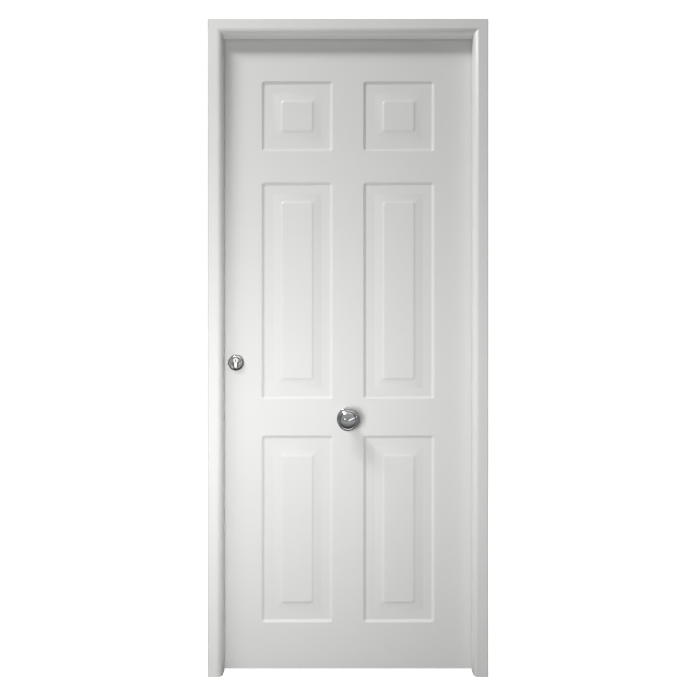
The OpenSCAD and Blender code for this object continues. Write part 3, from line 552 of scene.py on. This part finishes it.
def facing(name, y, direction):
    """A moulded skin whose show face is at y and looks along direction, with six raised panels."""
    outer = LEAF_X - STILE_MARGIN
    inner = MID_STILE / 2
    columns = [-outer, -inner, inner, outer]
    bottom = LEAF_BOTTOM + BOTTOM_RAIL
    top = LEAF_TOP - TOP_RAIL
    rows = [bottom, bottom + BOTTOM_PANEL_H, bottom + BOTTOM_PANEL_H + LOCK_RAIL,
            top - TOP_PANEL_H - UPPER_RAIL, top - TOP_PANEL_H, top]
    bm = bmesh.new()
    corners = box_outline(-LEAF_X, LEAF_X, LEAF_BOTTOM, LEAF_TOP)
    bm.faces.new([bm.verts.new((x, y, z)) for x, z in corners])
    lines = [((x, 0, 0), (1, 0, 0)) for x in columns] + [((0, 0, z), (0, 0, 1)) for z in rows]
    for point, normal in lines:
        everything = bm.verts[:] + bm.edges[:] + bm.faces[:]
        bmesh.ops.bisect_plane(bm, geom=everything, plane_co=point, plane_no=normal)
    bm.normal_update()
    if bm.faces[:][0].normal.y * direction < 0:
        bmesh.ops.reverse_faces(bm, faces=bm.faces)
    border = [e for e in bm.edges if e.is_boundary]
    out = bmesh.ops.extrude_edge_only(bm, edges=border)
    bmesh.ops.translate(bm, verts=extruded_verts(out), vec=(0, -direction * FACING_T, 0))
    bmesh.ops.holes_fill(bm, edges=[e for e in bm.edges if e.is_boundary], sides=0)
    bmesh.ops.recalc_face_normals(bm, faces=bm.faces)
    rims = [e for e in bm.edges if all(abs(v.co.y - y) < ON_PLANE for v in e.verts)
            and len(e.link_faces) == 2 and abs(e.calc_face_angle(0)) > 1]
    bmesh.ops.bevel(bm, geom=rims, offset=RIM_ROUND, offset_type="OFFSET", affect="EDGES", segments=3,
                    profile=0.5, material=-1)
    for left, right in ((columns[0], columns[1]), (columns[2], columns[3])):
        for low, high in ((rows[0], rows[1]), (rows[2], rows[3]), (rows[4], rows[5])):
            centre = Vector(((left + right) / 2, y, (low + high) / 2))
            panel = min(bm.faces, key=lambda f: (f.calc_center_median() - centre).length)
            mould_panel(bm, panel, right - left, high - low)
    return finish_mesh(bm, name, FACING_SHARP)


CYLINDER_GAP = 0.5 * MM
BOLT_HOLE = 4.2 * MM
BOLT_HEAD = 4.4 * MM
STUD_HOLE = 5.3 * MM
FOLLOWER_HOLE = 10 * MM
HINGE_SEAT = 2.5 * MM
OUTER_LEG_HALF, INNER_LEG_HALF = 8 * MM, 5.5 * MM  # half the hole for the cylinder's lower half
PAST = 10 * MM  # how far a cutter reaches past what it cuts


def fitting_holes(leg_half):
    """The cylinder's, the through bolts' and the pull knob's holes through the leaf."""
    low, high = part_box("cylinder_body")
    cx = (low.x + high.x) / 2
    top_r = (high.x - low.x) / 2
    cz = high.z - top_r
    y0, y1 = LEAF_OUT - PAST, LEAF_IN + PAST
    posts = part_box("escutcheon_bolts")
    reach = (posts[1].x - posts[0].x) / 2 - BOLT_HEAD
    post_z = (posts[0].z + posts[1].z) / 2
    body = round_outline(cx, cz, top_r + CYLINDER_GAP)
    leg = box_outline(cx - leg_half, cx + leg_half, low.z - CYLINDER_GAP, cz)
    shapes = [body, leg, round_outline(*centre_of("pull_knob_stud"), STUD_HOLE)]
    shapes += [round_outline(cx + side * reach, post_z, BOLT_HOLE) for side in (-1, 1)]
    return [cutter_prism(shape, y0, y1) for shape in shapes]


def flat_shading(obj):
    """Lets the broad flat faces keep their own normals beside the rounded ones."""
    modifier = obj.modifiers.new("flat_faces", "WEIGHTED_NORMAL")
    modifier.weight = 100
    modifier.keep_sharp = True


def build_facings():
    """Both moulded skins, with the holes for the fittings and the hinges' seats cut into them."""
    outer = facing("moulded_facing_outer", LEAF_OUT, -1)
    cut(outer, fitting_holes(OUTER_LEG_HALF), FACING_SHARP)
    flat_shading(outer)
    fit(outer, "leaf", M["leaf"], "outer_facing")
    inner = facing("moulded_facing_inner", LEAF_IN, 1)
    cutters = fitting_holes(INNER_LEG_HALF)
    follower = round_outline(*centre_of("turn_knob_spindle"), FOLLOWER_HOLE)
    cutters.append(cutter_prism(follower, LEAF_OUT, LEAF_IN + PAST))
    for i in (1, 2, 3):
        low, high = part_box(f"hinge_leaf_plate_{i}")
        seat = box_outline(LEAF_X - HINGE_SEAT, LEAF_X + PAST, low.z, high.z)
        cutters.append(cutter_prism(seat, low.y, LEAF_IN + PAST))
    cut(inner, cutters, FACING_SHARP)
    flat_shading(inner)
    fit(inner, "leaf", M["leaf"], "inner_facing")


build_facings()


# ---- turned fittings ----

def build_pull_knob():
    """The fixed knob in the middle of the lock rail: a stepped rose, a waisted neck and a domed head."""
    x, z = centre_of("pull_knob")
    r, rose_r = radius_of("pull_knob"), radius_of("pull_knob_rose")
    reach = (LEAF_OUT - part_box("pull_knob")[0].y) / MM
    rose_t = (LEAF_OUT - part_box("pull_knob_rose")[0].y) / MM
    rose = [(5.2, 0), (rose_r, 0), (rose_r, 3.2)]
    rose += arc(rose_r - 3.2, 3.2, 3.2, 8, 62, 8)
    rose += [(rose_r - 8, rose_t - 1.6), (rose_r - 14, rose_t - 0.5), (rose_r - 20, rose_t)]
    rose += [(5.2, rose_t), (5.2, 0)]
    plate = finish_mesh(turned(rose, (x, LEAF_OUT, z), -1), "knob_rose", PLATE_SHARP)
    fit(plate, "leaf", M["chrome"], "pull_knob_rose")
    neck = [(0, rose_t), (16, rose_t), (15.4, rose_t + 1.6)]
    neck += arc(29.5, rose_t + 11, 16.5, 214, 146, 12)
    head = arc(r - 13, reach - 19, 7, -90, -45, 5)
    rim = arc(r - 4.4, reach - 8.4, 4.4, -60, 80, 16)
    moat = [(r - 4.3, reach - 4.0), (r - 5.0, reach - 4.3), (r - 7.3, reach - 5.8), (r - 7.8, reach - 5.8),
            (r - 8.0, reach - 4.5)]
    crown = dome(r - 8.1, reach - 4.1, 4.1, 16, 1)
    outline = neck + head + rim + moat + crown
    knob = finish_mesh(turned(outline, (x, LEAF_OUT, z), -1, 128), "centre_knob", TURNED_SHARP)
    fit(knob, "leaf", M["chrome"], "pull_knob")


def escutcheon_outline(r, t, roll):
    """A rolled rim, a fine groove inside it and a domed face."""
    inside = r - roll
    points = [(0, 0), (r, 0), (r, t - roll - 0.4)]
    points += arc(inside, t - roll - 0.4, roll, 4, 87, 14)
    points += [(inside - 0.4, t - 0.7), (inside - 0.9, t - 1.1), (inside - 1.6, t - 1.7),
               (inside - 2.3, t - 1.8), (inside - 2.9, t - 1.7), (inside - 5.4, t - 1.4),
               (8.5, t - 1.2), (0, t - 1.1)]
    return points


def cylinder_outline(x, z, grow, leg_grow):
    """The outline of a profile cylinder round its plug's centre, grown by so many mm."""
    r = (8.5 + grow) * MM
    leg = (5 + leg_grow) * MM
    foot = z - 19.5 * MM
    meet = math.degrees(math.asin(leg / r))
    points = [(x + px, z + pz) for px, pz in arc(0, 0, r, -90 + meet, 270 - meet, 40)]
    points += [(x + px, foot + pz) for px, pz in arc(0, 0, leg, 180, 360, 16)]
    return points


def build_escutcheons():
    """The two roses round the cylinder; the inner one has countersinks for the through bolts."""
    r = radius_of("escutcheon_outer")
    countersink = [(0, -2), (2.7, -2), (2.7, 9.0), (4.9, 11.6), (4.9, 14), (0, 14)]
    bolt_reach = 19 * MM
    x, z = centre_of("escutcheon_bolts")
    plug_z = centre_of("cylinder_plug")[1]
    for name, node, y, direction, roll, leg_gap in (
            ("escutcheon_ring_outer", "escutcheon_outer", LEAF_OUT, -1, 8, 2.9),
            ("escutcheon_ring_inner", "escutcheon_inner", LEAF_IN, 1, 4.6, 0.7)):
        ring = finish_mesh(turned(escutcheon_outline(r, 12, roll), (x, y, z), direction), name)
        hole = cylinder_outline(x, plug_z, 0.7, leg_gap)
        cutters = [cutter_prism(hole, y - 2 * PAST, y + 2 * PAST)]
        if direction > 0:
            cutters += [finish_mesh(turned(countersink, (x + side * bolt_reach, y, z), 1, 32), "cutter")
                        for side in (-1, 1)]
        cut(ring, cutters, TURNED_SHARP)
        fit(ring, "leaf", M["chrome"], node)


def build_cylinder():
    """The cylinder's two ends with their plug, keyway and the clearance round the plug."""
    x, z = centre_of("cylinder_plug")
    low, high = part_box("cylinder_body")
    outline = cylinder_outline(x, z, 0, 0)
    body = finish_mesh(prism(outline, low.y, high.y, 0.35 * MM), "profile_cylinder")
    mid = (low.y + high.y) / 2
    bore = round_outline(x, z, 6.3 * MM)
    cam_gap = box_outline(x - 12 * MM, x + 12 * MM, z - 15.5 * MM, z + 12 * MM)
    cut(body, [cutter_prism(bore, low.y - PAST, high.y + PAST),
               cutter_prism(cam_gap, mid - 5 * MM, mid + 5 * MM)], CYLINDER_SHARP)
    fit(body, "leaf", M["nickel"], "cylinder_body")
    length = (high.y - low.y) / MM
    plug_outline = [(0, 0), (5.9, 0), (6.15, 0.3), (6.15, length - 0.3), (5.9, length), (0, length)]
    plug = finish_mesh(turned(plug_outline, (x, low.y, z), 1, 64), "cylinder_plug_nickel")
    wards = [(-1.7, -4.8), (1.1, -4.8), (1.1, -2.4), (1.8, -1.8), (1.8, 0.6), (1.0, 1.2), (1.6, 1.9),
             (1.6, 3.4), (-1.7, 3.4)]
    keyway = [(x + px * MM, z + pz * MM) for px, pz in wards]
    cut(plug, [cutter_prism(keyway, low.y - PAST, low.y + 22 * MM)], PLATE_SHARP)
    fit(plug, "thumb_turn", M["nickel"], "cylinder_plug")


def build_thumb_turn():
    """The flat grip with rounded ends that turns the cylinder from inside, on its short neck."""
    x, z = centre_of("thumb_turn")
    low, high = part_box("thumb_turn")
    neck_end = high.y - 12 * MM
    half_w = (high.x - low.x) / 2
    radius = (high.z - low.z) / 2
    side = math.degrees(math.acos(half_w / radius))
    grip = [(x + px, z + pz) for px, pz in arc(0, 0, radius, side, 180 - side, 16)]
    grip += [(x + px, z + pz) for px, pz in arc(0, 0, radius, 180 + side, 360 - side, 16)]
    bm = prism(grip, neck_end, high.y, 2.0 * MM)
    neck = turned([(0, 0), (5.6, 0), (5.6, 4), (7.0, 5.5), (0, 5.5)], (x, low.y, z), 1, 48)
    neck_mesh = bpy.data.meshes.new("neck")
    neck.to_mesh(neck_mesh)
    neck.free()
    bm.from_mesh(neck_mesh)
    bpy.data.meshes.remove(neck_mesh)
    turn = finish_mesh(bm, "thumb_turn_grip", GRIP_SHARP)
    fit(turn, "thumb_turn", M["chrome"], "thumb_turn")


def build_turn_knob():
    """The round knob inside that draws the latch, on its own rose."""
    x, z = centre_of("turn_knob")
    rose_r = radius_of("turn_knob_rose")
    rose = [(10.3, 0), (rose_r, 0), (rose_r, 4.5)] + arc(rose_r - 4.5, 4.5, 4.5, 6, 66, 9)
    rose += [(rose_r - 6.5, 9.4), (rose_r - 10, 10), (10.3, 10), (10.3, 0)]
    plate = finish_mesh(turned(rose, (x, LEAF_IN, z), 1), "turn_rose", TURNED_SHARP)
    fit(plate, "leaf", M["chrome"], "turn_knob_rose")
    r = radius_of("turn_knob")
    reach = (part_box("turn_knob")[1].y - LEAF_IN) / MM
    outline = [(5.8, 2), (10, 2), (10, 12)] + arc(22, 15, 12, 180, 128, 8)
    outline += arc(r - 6, reach - 22, 6, -60, 0, 8) + arc(r - 8, reach - 11, 8, 0, 62, 10)
    outline += [(r - 6.5, reach - 2.9), (r - 7.2, reach - 3.2), (r - 8.0, reach - 2.6)]
    outline += dome(r - 8.2, reach - 2.2, 2.2, 12, 1)
    knob = finish_mesh(turned(outline, (x, LEAF_IN, z), 1), "inside_turn_knob", TURNED_SHARP)
    fit(knob, "inside_knob", M["chrome"], "turn_knob")


def build_cap_nut():
    """The domed nut inside that holds the pull knob."""
    x, z = centre_of("pull_knob_cap_nut")
    r = radius_of("pull_knob_cap_nut")
    outline = [(5.2, 0), (r, 0), (r, 2.5)] + arc(r - 2, 2.5, 2, 5, 70, 6)
    outline += dome(r - 4, 4.4, 4.6, 12)
    nut = finish_mesh(turned(outline, (x, LEAF_IN, z), 1, 64), "cap_nut", TURNED_SHARP)
    fit(nut, "leaf", M["chrome"], "pull_knob_cap_nut")


build_pull_knob()
build_escutcheons()
build_cylinder()
build_thumb_turn()
build_turn_knob()
build_cap_nut()


# ---- finishes and soft edges of the CAD nodes ----

FINISH = {
    "frame_lacquer": "frame", "leaf_lacquer": "leaf", "seal_rubber": "rubber", "screw_steel": "screw",
    "lock_steel": "lock", "hinge_steel": "hinge", "armour_steel": "armour", "core_timber": "timber",
    "core_wool": "wool", "carrier_aluminium": "aluminium", "cylinder_nickel": "nickel",
    "handle_chrome": "chrome",
}
SOFT_EDGE = {
    "frame_lacquer": 0.6 * MM, "hinge_steel": 0.35 * MM, "lock_steel": 0.25 * MM,
    "screw_steel": 0.1 * MM, "core_timber": 0.4 * MM, "carrier_aluminium": 0.2 * MM,
    "seal_rubber": 0.3 * MM,
}


def soften(obj, width):
    """Welds a node's loose triangles and rounds its edges a little."""
    weld = obj.modifiers.new("weld", "WELD")
    weld.merge_threshold = 0.002 * MM
    bevel = obj.modifiers.new("soft_edges", "BEVEL")
    bevel.width = width
    bevel.segments = 2
    bevel.limit_method = "ANGLE"
    bevel.angle_limit = math.radians(NODE_SHARP)
    bevel.use_clamp_overlap = True
    bevel.harden_normals = False


for part in frame["record"]["subparts"]:
    obj = nodes[part["node"]]
    obj.data.materials.clear()
    obj.data.materials.append(M[FINISH[part["material_slot"]]])
    if not obj.hide_render and part["material_slot"] in SOFT_EDGE:
        soften(obj, SOFT_EDGE[part["material_slot"]])


# ---- floor, light and camera ----

FLOOR_FRONT, FLOOR_BACK = -7.0, 3.0
SWEEP_RADIUS, WALL_TOP = 1.5, 6.0
HALF_WIDTH = 8.0
FLOOR_GREY = (0.40, 0.40, 0.40)
FLOOR_NEAR, FLOOR_FAR = 0.02, 0.30  # how bright polished metal sees it near the door, and far off
MIRROR_NEAR, MIRROR_FAR = 0.7, 3.5  # where near and far lie, in metres from the door
SWEEP_SHARP = 60

# the world along a ray's direction, each as (from, to, brightness at from, brightness at to)
AMBIENT = (-0.3, 0.9, 0.05, 0.26)
HORIZON = (-0.25, 0.12, 0.16, 0.32)
CEILING = (0.52, 0.74, 0.0, 0.75)
SIDES = (0.45, 0.9, 1.0, 0.25)
WINDOW_IN_FRONT = (-0.6, -0.7, 0.0, 1.25)
STREAK_START = (0.0, 0.05, 0.0, 1.0)
STREAK_END = (0.55, 0.6, 1.0, 0.0)
# the small window and the slanted streak that polished metal mirrors
WINDOW_ACROSS, WINDOW_HEIGHT = -0.151, -0.02
WINDOW_HALF, WINDOW_FADE = 0.024, 0.04
STREAK_SLOPE, STREAK_RISE = 0.45, -0.10
STREAK_HALF, STREAK_FADE = 0.012, 0.035

CAMERA_DISTANCE = 2.40
VIEW_WIDTH = 2.2067
SENSOR = 36


def build_backdrop():
    """A pale floor that sweeps up into a pale wall behind the door."""
    bm = bmesh.new()
    line = [(FLOOR_FRONT, 0.0)] + arc(FLOOR_BACK, SWEEP_RADIUS, SWEEP_RADIUS, -90, 0, 16)
    line.append((FLOOR_BACK + SWEEP_RADIUS, WALL_TOP))
    row, edges = chain(bm, [(-HALF_WIDTH, y, z) for y, z in line])
    out = bmesh.ops.extrude_edge_only(bm, edges=edges)
    bmesh.ops.translate(bm, verts=extruded_verts(out), vec=(2 * HALF_WIDTH, 0, 0))
    bmesh.ops.recalc_face_normals(bm, faces=bm.faces)
    sweep = finish_mesh(bm, "backdrop", SWEEP_SHARP)
    material, n, shader, vector = new_material("pale_backdrop")
    rays = n.add("ShaderNodeLightPath").outputs
    n.set(shader, "Base Color", n.mix(rays["Is Glossy Ray"], (*FLOOR_GREY, 1), (0, 0, 0, 1)))
    away = n.math("ABSOLUTE", n.add("ShaderNodeSeparateXYZ", {"Vector": vector}).outputs["Y"])
    brightness = n.ramp(away, MIRROR_NEAR, MIRROR_FAR, FLOOR_NEAR, FLOOR_FAR)
    mirrored = n.math("MULTIPLY", rays["Is Glossy Ray"], brightness)
    shader.inputs["Roughness"].default_value = 0.9
    shader.inputs["Specular IOR Level"].default_value = 0.1
    shader.inputs["Emission Color"].default_value = (1, 1, 1, 1)
    n.set(shader, "Emission Strength", n.math("ADD", rays["Is Camera Ray"], mirrored))
    sweep.data.materials.append(material)


def area_light(name, place, target, size, power):
    """A white rectangular lamp that points at its target."""
    data = bpy.data.lights.new(name, "AREA")
    data.shape = "RECTANGLE"
    data.size, data.size_y = size
    data.energy = power
    light = bpy.data.objects.new(name, data)
    light.location = place
    light.rotation_euler = (Vector(target) - Vector(place)).to_track_quat("-Z", "Y").to_euler()
    bpy.context.scene.collection.objects.link(light)
    return light


def build_world():
    """White where the camera sees it, dim and shaded as a light, and a darker studio in reflections."""
    world = bpy.data.worlds.new("studio")
    bpy.context.scene.world = world
    world.use_nodes = True
    n = Nodes(world.node_tree)
    direction = n.add("ShaderNodeTexCoord").outputs["Generated"]
    across, away, height = n.add("ShaderNodeSeparateXYZ", {"Vector": direction}).outputs
    rays = n.add("ShaderNodeLightPath").outputs
    soft = n.ramp(height, *AMBIENT)
    sky = n.math("ADD", n.ramp(height, *HORIZON), n.ramp(height, *CEILING))
    sides = n.ramp(n.math("ABSOLUTE", across), *SIDES)

    def band(value, middle, half, fade):
        """1 within half of the middle, and 0 from fade outwards."""
        off = n.math("ABSOLUTE", n.math("SUBTRACT", value, middle))
        return n.ramp(off, half, fade, 1.0, 0.0)

    window = n.math("MULTIPLY", band(across, WINDOW_ACROSS, WINDOW_HALF, WINDOW_FADE),
                    band(height, WINDOW_HEIGHT, WINDOW_HALF, WINDOW_FADE))
    slant = n.math("SUBTRACT", height, n.math("MULTIPLY", across, STREAK_SLOPE))
    ends = n.math("MULTIPLY", n.ramp(across, *STREAK_START), n.ramp(across, *STREAK_END))
    streak = n.math("MULTIPLY", band(slant, STREAK_RISE, STREAK_HALF, STREAK_FADE), ends)
    in_front = n.ramp(away, *WINDOW_IN_FRONT)
    bright = n.math("MULTIPLY", n.math("MAXIMUM", window, streak), in_front)
    sharp = n.math("ADD", n.math("MULTIPLY", sky, sides), bright)
    unseen = n.blend_numbers(rays["Is Glossy Ray"], soft, sharp)
    strength = n.blend_numbers(rays["Is Camera Ray"], unseen, 1.0)
    background = world.node_tree.nodes["Background"]
    background.inputs["Color"].default_value = (1, 1, 1, 1)
    n.set(background, "Strength", strength)


build_backdrop()
build_world()
area_light("high_strip", (-1.75, -1.72, 3.95), (-0.2, 0, 1.5), (1.5, 0.4), 68)
area_light("key", (-0.37, -1.2, 0.8), (-0.37, 0, 0.8), (0.4, 0.5), 11.0).visible_glossy = False
area_light("back_fill", (0.7, 2.7, 2.3), (0, 0, 0.95), (1.6, 1.2), 55)

camera_data = bpy.data.cameras.new("camera")
camera_data.sensor_width = SENSOR
camera_data.lens = SENSOR * CAMERA_DISTANCE / VIEW_WIDTH
camera = bpy.data.objects.new("camera", camera_data)
camera.location = (0, -CAMERA_DISTANCE, cad_bounds[1][2] / 2)
camera.rotation_euler = (math.pi / 2, 0, 0)
bpy.context.scene.collection.objects.link(camera)
bpy.context.scene.camera = camera
bpy.context.scene.view_settings.view_transform = "Standard"
